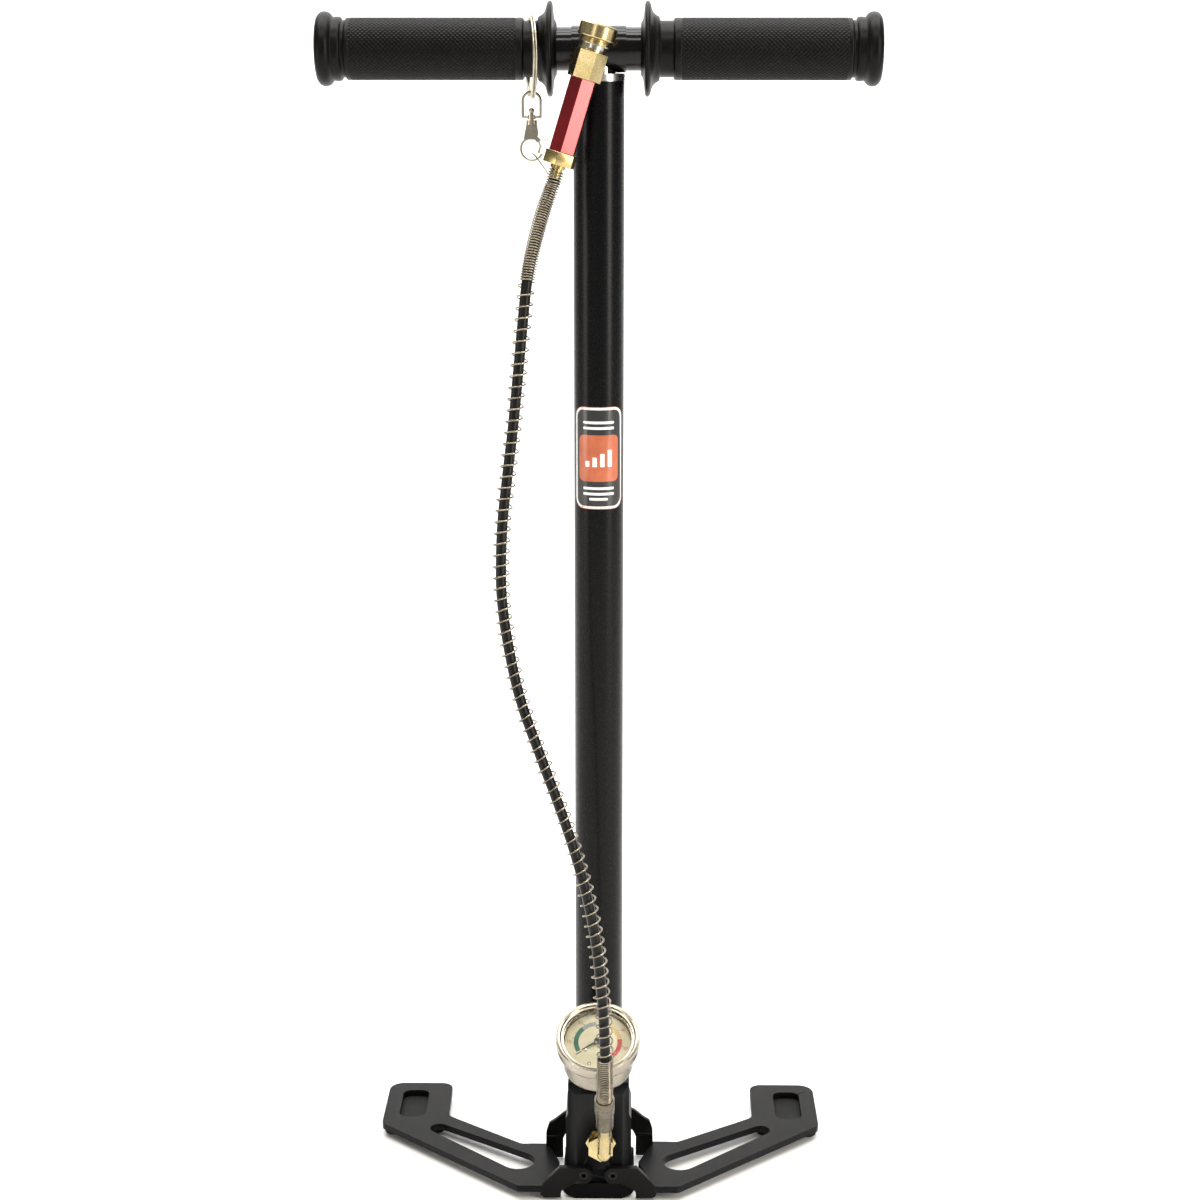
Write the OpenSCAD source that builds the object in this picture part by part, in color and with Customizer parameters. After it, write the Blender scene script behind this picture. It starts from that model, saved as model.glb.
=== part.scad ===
// High-pressure hand pump: T-handle, tall cylinder, base block on two folding foot plates,
// tilted gauge, and a spring-guarded hose that is clipped up beside the handle.
// Millimetres. Origin on the floor under the cylinder's axis, +Z up, the gauge faces -Y.

/* [Cylinder] */
// Outer radius of the black cylinder
tube_r = 13.3; // [13:0.1:13.6]
// Wall of the black cylinder
tube_wall = 1.8; // [1.5:0.1:2.2]
// Height of the cylinder's top end
tube_top = 623; // [600:1:623]
// Outer radius of the sliding piston tube
piston_tube_r = 9; // [8.8:0.1:9.2]

/* [Handle] */
// Height of the crossbar's axis
bar_z = 638.8; // [638:0.1:642]
// Radius of the crossbar
bar_r = 11; // [10.5:0.1:11.2]
// Half of the handle's overall width
handle_half = 144.5; // [138:0.5:155]
// Radius of a grip's body
grip_r = 15.7; // [15:0.1:17]
// Radius of a grip's inner flange
flange_r = 24; // [20:0.5:26]

/* [Base] */
// Half of the block's width at its wide lower part
block_half = 18.7; // [18:0.1:19]
// Height of the block's top face
block_top = 69; // [68:0.5:70]
// Height of the foot pivots
pivot_z = 15.2; // [15:0.1:15.4]
// Distance of each foot pivot from the middle
pivot_x = 8.3; // [8:0.1:8.5]
// Thickness of a foot plate
plate_t = 4; // [3:0.5:4]
// Distance of a foot plate's outer edge from the middle
plate_x = 131.5; // [125:0.5:140]

/* [Gauge] */
// Outer radius of the gauge bezel
bezel_r = 23.5; // [22:0.5:23.5]
// Lean of the dial back from facing up
gauge_lean = 30; // [30:1:32]

/* [Hose] */
// Outer radius of the hose
hose_r = 2.8; // [2.5:0.1:2.9]
// Outer radius of the open spring guard
guard_r = 4.95; // [4.8:0.05:5]

/* [Hidden] */
$fn = 64;
e = 0.01;            // overrun of a cut past a face
snug = 0.03;         // gap between parts that are pressed or screwed together
run = 0.05;          // radial gap of a running fit
foot_top = 9.6;      // top of the base foot, where the block stands
front_y = -24;       // front face of the block
rear_y = 18;         // rear face of the block
bar_bottom = bar_z - 11.8;
tube_in = tube_r - tube_wall;
socket_z = 56.5;     // lower end of the cylinder in the block
outlet_x = 1.4;
outlet_z = 35.4;
pipe_x = 3.4;        // the outlet pipe runs a little to the right of its nut
bleed_z = 49.5;
chamber_top = 47;    // lower end of the centre tube, top of the check-valve chamber
gauge_y = -44.4;     // centre of the bezel's front edge plane
gauge_z = 109.8;
plate_z = 5;         // underside of a foot plate
plate_top = plate_z + plate_t;
front_lug = [-28.4, -24.4];      // Y span of the front lugs
left_ear = [18.4, 21.4];         // Y span of the left plate's rear ear
right_ear = [21.8, 24.8];        // Y span of the right plate's rear ear
pin_r = 2.5;
lug_r = 4.8;
clasp_x = -34.7;
ring_r = 20;         // mean radius of the split ring
ring_z = 634.65;
eye_z = 612.6;       // centre of the swivel eye's arch
loop_z = 588.4;      // centre of the snap hook's loop
loop_r = 5.7;
loop_wire = 0.65;
gate_hinge_a = 58;   // angle round the loop at which the gate is hinged
loop_end_a = -24;    // angle round the loop at which its wire ends, beside the gate's tip

// connector: place of its lower end and its lean
conn_at = [-22.4, -25.4, 575.1];
conn_turn = [-2.5, 17, 0];
ferrule_at = [3.9, -46, 51.7];
ferrule_turn = [32, 0, 0];
ferrule_foot = 7;    // where the ferrule starts, up its own axis
ferrule_len = 37;
// the outlet pipe's two bends
outlet_bend = [3.4, -40, 35.4];
ferrule_bend = [3.9, -45, 50.2];

// route of the hose, from inside the lower ferrule to the connector; the last stretch is
// beyond the hose's end, where only the spring goes on
hose_route = [
    [3.9, -51.3, 60.2], [3.9, -57.7, 70.4], [3.9, -64.5, 81.3], [4.3, -71, 93], [4.4, -75.7, 106],
    [4.3, -78.3, 120], [3.7, -79.6, 136], [2.5, -80, 152], [0.2, -79.3, 176], [-4.7, -77, 203],
    [-12, -74, 230], [-20, -71, 254], [-29, -67.2, 278], [-40, -62.6, 309], [-46.4, -59, 338],
    [-49.8, -56, 366], [-49.3, -52.8, 398], [-46.4, -49.8, 426], [-43.5, -47.2, 450],
    [-40.7, -44.8, 478], [-38.2, -42.4, 504], [-35.9, -39.6, 525], [-33.2, -36.4, 539.5],
    [-30, -31.8, 552], [-27, -28, 562], [-23.9, -25.6, 570.3], [-22.4, -25.4, 575], [-21.1, -25.2, 579.5]
];
// stretches of the route that the springs cover, as places along it
low_spring = [1.35, 4.5];
guard_span = [4.55, 20.9];
top_spring = [20.95, 26.9];
// the spring's loose end, from the top spring to the snap hook's loop
tail_route = [
    [-25.8, -23, 577.6], [-26.8, -20, 578.8], [-28.6, -14.5, 580.8], [-30.8, -8.6, 583],
    [-32.6, -4.8, 585], [-33.6, -2.6, 585.9], [-34.3, -1.7, 586.2]
];

// ---- general shapes ----

// an upright cylinder between two heights
module post(r, z0, z1) {
    translate([0, 0, z0]) cylinder(r = r, h = z1 - z0);
}

// an upright pipe between two heights
module pipe(r_out, r_in, z0, z1) {
    difference() {
        post(r_out, z0, z1);
        post(r_in, z0 - e, z1 + e);
    }
}

// a hexagonal bar between two heights, af across its flats
module hex_bar(af, z0, z1, turn = 0) {
    translate([0, 0, z0]) rotate([0, 0, turn]) cylinder(r = af / sqrt(3), h = z1 - z0, $fn = 6);
}

// its child, drawn along +Z, laid along -Y (towards the front) from a place
module towards_front(at) {
    translate(at) rotate([90, 0, 0]) children();
}

// its child, drawn along +Z, laid along +Y (towards the back) from a place
module towards_back(at) {
    translate(at) rotate([-90, 0, 0]) children();
}

// a plate drawn in X and Z, between two Y values
module upright(y_span) {
    translate([0, y_span[1], 0]) rotate([90, 0, 0]) linear_extrude(y_span[1] - y_span[0]) children();
}

// a torus round +Z
module ring(r_mid, r_wire, z) {
    translate([0, 0, z]) rotate_extrude() translate([r_mid, 0]) circle(r = r_wire, $fn = 24);
}

// an outline whose corners [x, y, radius] are rounded by arcs
function unit(v) = v / norm(v);
function corner_arc(p, c, n) =
    let (u = unit([p[0] - c[0], p[1] - c[1]]), w = unit([n[0] - c[0], n[1] - c[1]]),
         half = acos(u * w) / 2, r = c[2], mid = unit(u + w), o = [c[0], c[1]] + mid * r / sin(half),
         s = [c[0], c[1]] + u * r / tan(half), f = [c[0], c[1]] + w * r / tan(half),
         a = atan2(s[1] - o[1], s[0] - o[0]), b = atan2(f[1] - o[1], f[0] - o[0]),
         turn = (b - a + 540) % 360 - 180, steps = max(2, ceil(abs(turn) / 15)))
    [for (i = [0:steps]) o + r * [cos(a + turn * i / steps), sin(a + turn * i / steps)]];
function rounded(c) = [
    for (i = [0:len(c) - 1])
        let (p = c[(i + len(c) - 1) % len(c)], n = c[(i + 1) % len(c)])
        each (c[i][2] > 0 ? corner_arc(p, c[i], n) : [[c[i][0], c[i][1]]])
];

// the outline of a slot that runs from one circle to another of a different radius
function taper_slot(a, ra, b, rb) =
    let (d = b - a, heading = atan2(d[1], d[0]), open = acos((ra - rb) / norm(d)))
    concat([for (i = [0:10]) b + rb * [cos(heading - open + i * open / 5),
                                       sin(heading - open + i * open / 5)]],
           [for (i = [0:10]) a + ra * [cos(heading + open + i * (36 - open / 5)),
                                       sin(heading + open + i * (36 - open / 5))]]);

// ---- sweeping along a route ----

// a smooth curve through the route's points; t counts the points passed
function route_at(p, t) =
    let (n = len(p), i = min(floor(t), n - 2), u = t - i,
         a = p[max(i - 1, 0)], b = p[i], c = p[i + 1], d = p[min(i + 2, n - 1)])
    0.5 * (2 * b + (c - a) * u + (2 * a - 5 * b + 4 * c - d) * u * u
           + (3 * b - a - 3 * c + d) * u * u * u);
function route_way(p, t) = unit(route_at(p, min(t + 0.02, len(p) - 1)) - route_at(p, max(t - 0.02, 0)));
function ring_of(p, t, r, sides) =
    let (way = route_way(p, t), side = unit([1, 0, 0] - way[0] * way), up = cross(way, side))
    [for (k = [0:sides - 1]) route_at(p, t)
        + r * (cos(360 * k / sides) * side + sin(360 * k / sides) * up)];

// a solid cord along the stretch span of a route
module cord_along(p, span, rings, r, sides) {
    points = [for (i = [0:rings]) each ring_of(p, span[0] + (span[1] - span[0]) * i / rings, r, sides)];
    walls = [for (i = [0:rings - 1], k = [0:sides - 1])
        let (m = (k + 1) % sides, q = i * sides)
        each [[q + k, q + sides + k, q + m], [q + m, q + sides + k, q + sides + m]]];
    caps = [[for (k = [0:sides - 1]) k], [for (k = [0:sides - 1]) rings * sides + sides - 1 - k]];
    polyhedron(points, concat(walls, caps));
}

// a hollow sleeve along the stretch span of a route
module sleeve_along(p, span, rings, r_out, r_in, sides) {
    points = [for (i = [0:rings])
        let (t = span[0] + (span[1] - span[0]) * i / rings)
        each concat(ring_of(p, t, r_out, sides), ring_of(p, t, r_in, sides))];
    both = 2 * sides;
    walls = [for (i = [0:rings - 1], k = [0:sides - 1])
        let (m = (k + 1) % sides, q = i * both, s = q + sides)
        each [[q + k, q + both + k, q + m], [q + m, q + both + k, q + both + m],
              [s + k, s + m, s + both + k], [s + m, s + both + m, s + both + k]]];
    rims = [for (k = [0:sides - 1])
        let (m = (k + 1) % sides, q = rings * both)
        each [[k, m, sides + k], [m, sides + m, sides + k],
              [q + k, q + sides + k, q + m], [q + m, q + sides + k, q + sides + m]]];
    polyhedron(points, concat(walls, rims));
}

// ---- frames ----

// gauge frame: origin in the middle of the bezel's front, +Z out of the dial
module at_gauge() {
    translate([0, gauge_y, gauge_z]) rotate([gauge_lean, 0, 0]) children();
}

// connector frame: origin at its lower end, +Z towards its mouth
module at_connector() {
    translate(conn_at) rotate(conn_turn) children();
}

// ferrule frame: origin at its lower end, +Z along the hose
module at_ferrule() {
    translate(ferrule_at) rotate(ferrule_turn) children();
}

// crossbar frame: origin in the middle of the bar, +Z towards the right end
module at_bar() {
    translate([0, 0, bar_z]) rotate([0, 90, 0]) children();
}

// the cross pin's place through the hub
module pin_through_hub(r, half) {
    towards_front([0, half, bar_z - 7]) cylinder(r = r, h = 2 * half);
}

// ---- cylinder and gland ----

module outer_tube() color("#17171a") pipe(tube_r, tube_in, socket_z, tube_top);

module tube_label() {
    label_h = 55;
    label_half = 11.8;
    label_z = 428;
    color("#d9622b") intersection() {
        pipe(tube_r + 0.35, tube_r + snug, label_z - label_h / 2, label_z + label_h / 2);
        upright([-15, -5]) polygon(rounded([for (c = [[-1, -1], [1, -1], [1, 1], [-1, 1]])
            [c[0] * label_half, label_z + c[1] * label_h / 2, 4]]));
    }
}

module gland_nut() {
    color("#c9ccd0") difference() {
        union() {
            post(13.6, tube_top + 0.02, bar_bottom - 0.4);
            post(tube_in - 2 * snug, tube_top - 19, tube_top + 0.1);
        }
        post(piston_tube_r + 0.3, tube_top - 20, bar_bottom);
        post(10.6, tube_top - 20, tube_top - 6);
        post(10.7, tube_top + 0.4, bar_bottom);
    }
}

module guide_bush() color("#a8823c") pipe(10.6 - snug, piston_tube_r + run, tube_top - 18.8, tube_top - 6.1);

module wiper_seal() {
    color("#202020") difference() {
        post(10.7 - snug, tube_top + 0.45, bar_bottom - 1);
        post(piston_tube_r + run, tube_top, bar_bottom);
        translate([0, 0, tube_top + 1.6]) cylinder(r1 = piston_tube_r + run, r2 = 10.2, h = 2);
    }
}

module tube_seal() color("#202020") ring(12.35, 0.85, socket_z - 0.95);

// ---- fixed inner stages ----

module centre_tube() color("#8f9296") pipe(4, 2.4, chamber_top, 588);

module second_stage_head() {
    color("#a8823c") difference() {
        post(6.4, 578, 600);
        post(4 + snug, 577, 588);
        post(2.4, 587, 601);
        pipe(7, 5.2, 591, 593.4);
    }
}

module second_stage_seal() color("#202020") pipe(6.55, 5.2 + snug, 591.1, 593.3);

// ---- base ----

module base_block() {
    c = 5;
    h = block_half;
    step = 1.3;
    color("#1f2023") difference() {
        intersection() {
            translate([0, 0, foot_top]) linear_extrude(block_top - foot_top) polygon([
                [-h, front_y + c], [-h + c, front_y], [h - c, front_y], [h, front_y + c],
                [h, rear_y - c], [h - c, rear_y], [-h + c, rear_y], [-h, rear_y - c]]);
            upright([front_y, rear_y]) polygon([
                [-h, foot_top], [h, foot_top], [h, 46.5], [h - step, 50],
                [h - step, block_top], [-h + step, block_top], [-h + step, 50], [-h, 46.5]]);
            rotate([90, 0, 90]) translate([0, 0, -h]) linear_extrude(2 * h) polygon([
                [front_y, foot_top], [rear_y, foot_top], [rear_y, block_top - 1.5],
                [rear_y - 1.5, block_top], [front_y + c, block_top], [front_y, block_top - c]]);
        }
        post(tube_r + snug, socket_z, block_top + e);
        post(tube_r + snug, socket_z - 1.9, socket_z + e);
        post(4 + snug, chamber_top, socket_z);
        post(2.7, 36.5, chamber_top + e);
        post(1, outlet_z, 37);
        towards_back([outlet_x, front_y - e, outlet_z]) cylinder(r = 5 + snug, h = 10);
        towards_back([0, front_y + 5, outlet_z]) cylinder(r = 1.05, h = 29);
        towards_front([0, rear_y + e, bleed_z]) cylinder(r = 4 + run, h = 9.4);
        translate([0, 10, outlet_z]) cylinder(r = 1, h = bleed_z - outlet_z);
        translate([0, -17.2, outlet_z]) cylinder(r = 1, h = 28.4);
        at_gauge() post(3.5 + snug, -54.6, -40);
        for (side = [-1, 1])
            towards_back([side * pivot_x, front_y - e, pivot_z])
                cylinder(r = pin_r + snug, h = rear_y - front_y + 2 * e);
        for (y = [-13, 11])
            translate([0, y, foot_top - e]) cylinder(r = 2.5 + snug, h = 15);
    }
}

module base_foot() {
    color("#26272a") difference() {
        upright([front_y - 2.4, 24]) polygon([
            [-13, 0], [13, 0], [18.5, 2.4], [20.4, 5.2], [12.6, foot_top],
            [-12.6, foot_top], [-20.4, 5.2], [-18.5, 2.4]]);
        for (y = [-13, 11]) {
            translate([0, y, -e]) cylinder(r = 4.6, h = 7);
            translate([0, y, 0]) cylinder(r = 2.6, h = 20);
        }
    }
}

module base_screws() {
    color("#8f9296") for (y = [-13, 11]) translate([0, y, 0]) difference() {
        union() {
            post(4.25, 2.4, 6.99 - snug);
            post(2.5, 6.5, 23.5);
        }
        hex_bar(4, 2, 5);
    }
}

module pivot_pins() {
    color("#3a3b3f") for (side = [-1, 1]) difference() {
        towards_back([side * pivot_x, front_lug[0] + 0.3, pivot_z])
            cylinder(r = pin_r, h = right_ear[1] - front_lug[0] + 0.3);
        towards_back([side * pivot_x, front_lug[0] - 1, pivot_z]) cylinder(r = 1.5, h = 4);
    }
}

module valve_seat() color("#a8823c") pipe(2.7 - snug, 1, 44.6, chamber_top - 0.02);

module valve_ball() color("#c9ccd0") translate([0, 0, 43.3]) sphere(r = 1.6, $fn = 48);

module valve_spring() color("#8f9296") pipe(1.75, 1.25, 36.6, 42.25);

module bleed_screw() {
    knob = [rear_y + 1, rear_y + 11];
    color("#1f2023") difference() {
        union() {
            towards_back([0, rear_y - 8, bleed_z]) cylinder(r = 4, h = knob[0] - rear_y + 8.1);
            towards_back([0, knob[0], bleed_z]) cylinder(r = 7.6, h = knob[1] - knob[0]);
        }
        for (a = [0:30:330]) translate([8.3 * cos(a), knob[0] - 1, bleed_z + 8.3 * sin(a)])
            rotate([-90, 0, 0]) cylinder(r = 1.3, h = 12, $fn = 24);
        towards_front([0, knob[1] + e, bleed_z]) cylinder(r = 4.5, h = 2);
    }
}

// ---- gauge ----

module gauge_stem() {
    color("#b08a45") at_gauge() difference() {
        union() {
            post(3.5, -54.5, -35);
            hex_bar(14, -36, -27 - snug);
            post(4, -27.5, -16);
        }
        post(1, -56, -17);
    }
}

module gauge_case() {
    color("#d8d2c2") at_gauge() difference() {
        rotate_extrude() polygon(concat(
            [[0, -27]], [for (a = [-90:15:0]) [16 + 4 * cos(a), -23 + 4 * sin(a)]],
            [[20, -3.05], [0, -3.05]]));
        post(18.8, -25.4, 0);
        post(4 + snug, -28, -24);
    }
}

module gauge_bezel() {
    r = bezel_r;
    color("#d8d2c2") at_gauge() rotate_extrude() polygon([
        [20 + snug, -8], [r - 0.8, -8], [r - 0.2, -7.2], [r, -6], [r, -1.6], [r - 0.5, -0.4], [r - 1.5, 0],
        [r - 2.4, -0.3], [r - 3.2, -1], [19.6, -1.1], [19.6, -1.75], [20 + snug, -1.75]]);
}

module gauge_lens() color([0.9, 0.95, 1, 0.35]) at_gauge() post(20, -3.02, -1.78);

module gauge_dial() color("#efe9cf") at_gauge() pipe(18.6, 1.4, -7, -6.2);

module gauge_tube() {
    color("#b08a45") at_gauge() {
        translate([0, 0, -15]) rotate([0, 0, -60]) rotate_extrude(angle = 270)
            translate([12, 0]) circle(r = 1.5, $fn = 24);
        translate([0, 0, -15]) rotate([0, 0, -60]) translate([4 + snug, -2, -1]) cube([8, 4, 2]);
    }
}

module gauge_movement() {
    color("#b08a45") at_gauge() difference() {
        union() {
            post(7, -11, -9.5);
            post(2.5, -16 + snug, -10);
            for (x = [-5, 5]) translate([x, 0, 0]) post(0.8, -10, -7 - snug);
        }
        post(1 + run, -13, -9);
    }
}

needle_a = 214;      // direction of the needle at rest, at the dial's lower left
module gauge_needle() {
    color("#151515") at_gauge() rotate([0, 0, needle_a]) union() {
        post(1, -12.3, -5.4);
        post(2, -5.6, -4.2);
        translate([0, 0, -5.2]) linear_extrude(0.5) polygon([
            [-3.5, -0.6], [-3.5, 0.6], [0, 0.7], [10.6, 0.2], [10.6, -0.2], [0, -0.7]]);
    }
}

module needle_stop() {
    color("#8f9296") at_gauge() rotate([0, 0, needle_a + 8]) translate([9, 0, 0])
        post(0.45, -6.2 + snug, -4.4);
}

// ---- folding feet ----

// the right plate; its rear ear stands between the two Y values given
module foot_plate(ear) {
    back = ear[1];
    difference() {
        union() {
            translate([0, 0, plate_z]) linear_extrude(plate_t) difference() {
                polygon(rounded([
                    [22.9, -0.5, 1.5], [31, front_lug[1], 0], [31, front_lug[0], 0],
                    [46, front_lug[0], 4], [plate_x, 46, 5], [plate_x, 98.5, 9], [92.5, 98.5, 7],
                    [92, 55.5, 6], [46, back - 0.5, 5], [40, back, 0], [30, back, 0], [30, 20, 0]]));
                polygon(taper_slot([47, 0.5], 9.8, [96.5, 39.5], 5.4));
                polygon(rounded([[106.3, 54, 5], [122.3, 54, 5], [122.3, 88.5, 5], [106.3, 88.5, 5]]));
            }
            upright(front_lug) polygon(rounded([
                [pivot_x, pivot_z + lug_r, 0], [22, pivot_z + lug_r, 1], [30.5, 11.2, 3], [33.2, 7.5, 2],
                [33, 3, 2], [31, 1.5, 1], [21.4, 1.5, 0.5], [21.3, 5.8, 2], [13.3, 10.5, 2],
                [pivot_x, 10.4, 0]]));
            towards_back([pivot_x, front_lug[0], pivot_z])
                cylinder(r = lug_r, h = front_lug[1] - front_lug[0]);
            upright(ear) polygon(rounded([
                [4.6, 18.4, 0], [13.1, 15.2, 0], [14.2, 18.6, 1], [19, 19, 3], [21.4, 14, 3],
                [21.4, 1.5, 0.5], [29.5, 1.5, 1.5], [31.6, 4.5, 1.5], [31.4, 18, 4],
                [29.6, 23.6, 2], [26.4, 25.6, 3],
                [19.3, 31.6, 5], [13, 30.5, 5], [6, 20, 0]]));
            towards_back([pivot_x, ear[0], pivot_z]) cylinder(r = lug_r, h = ear[1] - ear[0]);
            translate([22.4, ear[0], pivot_z]) rotate([0, 90, 0]) cylinder(r = 0.9, h = 8.4, $fn = 32);
        }
        towards_back([pivot_x, front_lug[0] - e, pivot_z])
            cylinder(r = pin_r + run, h = ear[1] - front_lug[0] + 2 * e);
    }
}

module foot_pad() {
    color("#2a2a2c") translate([0, 0, 0]) linear_extrude(plate_z - snug) polygon(rounded([
        [95, 50, 5], [plate_x - 0.8, 47.5, 6], [plate_x - 0.8, 97, 8], [94, 97, 6]]));
}

module left_foot_plate() color("#2b2c30") mirror([1, 0, 0]) foot_plate(left_ear);
module left_foot_pad() mirror([1, 0, 0]) foot_pad();
module right_foot_plate() color("#2b2c30") foot_plate(right_ear);
module right_foot_pad() foot_pad();

// ---- outlet and hose ----

module outlet_elbow() {
    way = ferrule_bend - outlet_bend;
    tilt = acos(way[2] / norm(way));
    heading = atan2(way[1], way[0]);
    color("#c9a55a") difference() {
        union() {
            towards_front([outlet_x, front_y + 9, outlet_z]) cylinder(r = 5, h = 9.5);
            towards_front([outlet_x, front_y, outlet_z]) cylinder(r = 15 / sqrt(3), h = 3.5, $fn = 6);
            towards_front([outlet_x, front_y, outlet_z]) cylinder(r = 6, h = 6.2);
            towards_front([outlet_x, front_y - 6, outlet_z]) rotate([0, 0, 30])
                cylinder(r = 13.6 / sqrt(3), h = 4.5, $fn = 6);
            towards_front([pipe_x, front_y - 4, outlet_z])
                cylinder(r = 3.8, h = front_y - 4 - outlet_bend[1]);
            translate(outlet_bend) sphere(r = 4, $fn = 48);
            translate(outlet_bend) rotate([0, tilt, heading]) cylinder(r = 3.7, h = norm(way));
            translate(ferrule_bend) sphere(r = 3.95, $fn = 48);
            at_ferrule() post(3.75, -1.8, ferrule_foot - snug);
            at_ferrule() post(3.2, -1.8, 9.9);
        }
        towards_front([pipe_x - 1, front_y + 10, outlet_z])
            cylinder(r = 1.2, h = front_y + 10 - outlet_bend[1]);
        translate(outlet_bend) rotate([0, tilt, heading]) cylinder(r = 1.1, h = norm(way));
        at_ferrule() post(1.2, -1.8, 12);
    }
}

module hose_ferrule() {
    color("#b9bcc0") at_ferrule() difference() {
        rotate_extrude() polygon([
            [0, ferrule_foot], [4.5, ferrule_foot], [4.9, ferrule_foot + 0.8], [4.95, 22], [5.4, 23.5],
            [5.5, 30], [5.2, 30.4], [5.2, 31], [5.5, 31.4], [5.5, 33], [5.2, 33.4], [5.4, 33.9],
            [5.5, 35], [5.4, 36], [5.2, ferrule_len], [0, ferrule_len]]);
        post(3.2 + snug, ferrule_foot - e, 10);
        post(3.05, 9, 26);
        post(4.88, 25, ferrule_len + e);
    }
}

module hose() {
    color("#161616") cord_along(hose_route, [0, len(hose_route) - 2], 75, hose_r, 10);
}

module low_end_spring() color("#a9acb0") sleeve_along(hose_route, low_spring, 16, 4.6, 3.4, 12);
module hose_guard() color("#8d8f93") sleeve_along(hose_route, guard_span, 52, guard_r, guard_r - 0.9, 10);
module top_end_spring() color("#8d8f93") sleeve_along(hose_route, top_spring, 18, 4.1, 3.25, 12);
module spring_tail() color("#8d8f93") cord_along(tail_route, [0, len(tail_route) - 1], 18, 0.45, 8);

// ---- connector ----

module connector_neck() {
    color("#c9a55a") at_connector() difference() {
        union() {
            post(2.95, 0.02, 10.9);
            post(3.9, 5.2, 6.97);
        }
        post(1.2, -e, 11);
    }
}

module lower_nut() {
    color("#c9a55a") at_connector() difference() {
        union() {
            hex_bar(15, 7, 13.5, 20);
            post(4.6 - snug, 13, 18);
        }
        post(2.95 + snug, 6, 11);
        post(1.5, 10, 19);
    }
}

module filter_body() {
    color("#a8161c") at_connector() difference() {
        hex_bar(12.8, 13.55, 51.45, 25);
        post(4.6, 13, 52);
    }
}

module filter_element() color("#e8e6df") at_connector() pipe(4.45, 1.5, 18.1, 47.9);

// the coupler's own frame, 2 mm further along the connector
module at_coupler() {
    at_connector() translate([0, 0, 2]) children();
}

module coupler_body() {
    color("#c9a55a") at_coupler() difference() {
        union() {
            post(4.6 - snug, 46, 50);
            hex_bar(15.2, 49.5, 63.5, -10);
            post(7.2, 63, 65);
            post(6.32, 64, 77);
        }
        post(1.5, 45, 62.5);
        post(4.1, 62, 78);
        for (a = [0:60:300]) rotate([0, 0, a]) translate([3, 0, 73]) rotate([0, 90, 0])
            cylinder(r = 1.16, h = 6);
    }
}

module coupler_collar() {
    color("#d3b167") at_coupler() difference() {
        rotate_extrude() polygon([
            [6, 67], [7.6, 67], [8, 67.4], [8, 69], [7.6, 69.3], [7.6, 69.9], [8, 70.2], [9.5, 70.4],
            [9.75, 70.8], [9.75, 76.6], [9.3, 77.3], [8.6, 77.6], [6, 77.6]]);
        post(6.38, 66, 79);
        post(7.1, 66, 71);
    }
}

// drawn at its compressed length, which is what fits with the collar drawn back
module coupler_spring() color("#a9acb0") at_coupler() pipe(7, 6.45, 65.1, 69.05);

module coupler_balls() {
    color("#c9ccd0") at_coupler() for (a = [0:60:300])
        rotate([0, 0, a]) translate([5.25, 0, 73]) sphere(r = 1.1, $fn = 24);
}

// ---- handle ----

module crossbar() {
    color("#1a1a1d") difference() {
        at_bar() post(bar_r, 10 - handle_half, handle_half - 10);
        at_bar() post(8.5, 24, handle_half);
        at_bar() post(8.5, -handle_half, -24);
        post(piston_tube_r + snug, bar_z - 20, bar_z - 2.5);
        pin_through_hub(2 + snug, 13);
    }
}

module hub_sleeve() {
    color("#1a1a1d") difference() {
        at_bar() pipe(11.8, bar_r + snug, -14, 14);
        post(piston_tube_r + snug, bar_z - 20, bar_z - 3);
        pin_through_hub(2 + snug, 13);
    }
}

module hub_pin() color("#8f9296") pin_through_hub(2, 9.2);

// a grip, drawn along +Z from the middle of the bar outwards
module grip() {
    r = grip_r;
    end = handle_half;
    difference() {
        rotate_extrude() polygon([
            [0, 21.5], [12.6, 21.5], [14.5, 22.6], [flange_r - 1.2, 23.6], [flange_r - 0.3, 24.2],
            [flange_r, 25], [flange_r - 0.3, 25.8], [flange_r - 1.2, 26.4], [19.5, 27.2], [17.4, 28.4],
            [16.5, 30], [16.2, 31.1], [14.2, 31.3], [14.2, 38.3], [r, 38.6], [r, end - 15.5],
            [r - 1.3, end - 14.8], [r - 1.3, end - 13.2], [r + 0.3, end - 12.6], [r + 0.6, end - 9.8],
            [r + 0.2, end - 8.6], [r + 2.2, end - 7.2], [r + 3.1, end - 5], [r + 3.1, end - 3.2],
            [r + 2.2, end - 1], [r + 0.6, end], [0, end]]);
        post(bar_r + snug, 20, end - 9.9);
    }
}

module left_grip() color("#202124") translate([0, 0, bar_z]) rotate([0, -90, 0]) grip();
module right_grip() color("#202124") at_bar() grip();

module piston_tube() {
    color("#cfd2d6") difference() {
        pipe(piston_tube_r, 6.6, 82.02, bar_z - 3);
        pin_through_hub(2 + snug, 13);
    }
}

module first_stage_piston() {
    color("#a8823c") difference() {
        post(tube_in - 0.2, 74, 92);
        post(4.6, 73, 93);
        post(piston_tube_r + snug, 82, 93);
        pipe(12, 9.6, 76, 78.4);
        post(5.8, 76.2, 78.4);
    }
}

module piston_seals() {
    color("#202020") {
        pipe(tube_in - run, 9.6 + snug, 76.1, 78.3);
        pipe(5.8 - snug, 4 + run, 76.3, 78.3);
    }
}

module plunger_rod() {
    color("#b9bcc0") difference() {
        union() {
            post(6.6 - snug, 620, bar_z - 3);
            post(2, 90, 621);
        }
        pipe(3, 1.3, 92, 94);
        pin_through_hub(2 + snug, 13);
    }
}

module plunger_seal() color("#202020") pipe(2.4 - run, 1.3 + snug, 92.1, 93.9);

// ---- ring and snap hook ----

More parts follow.
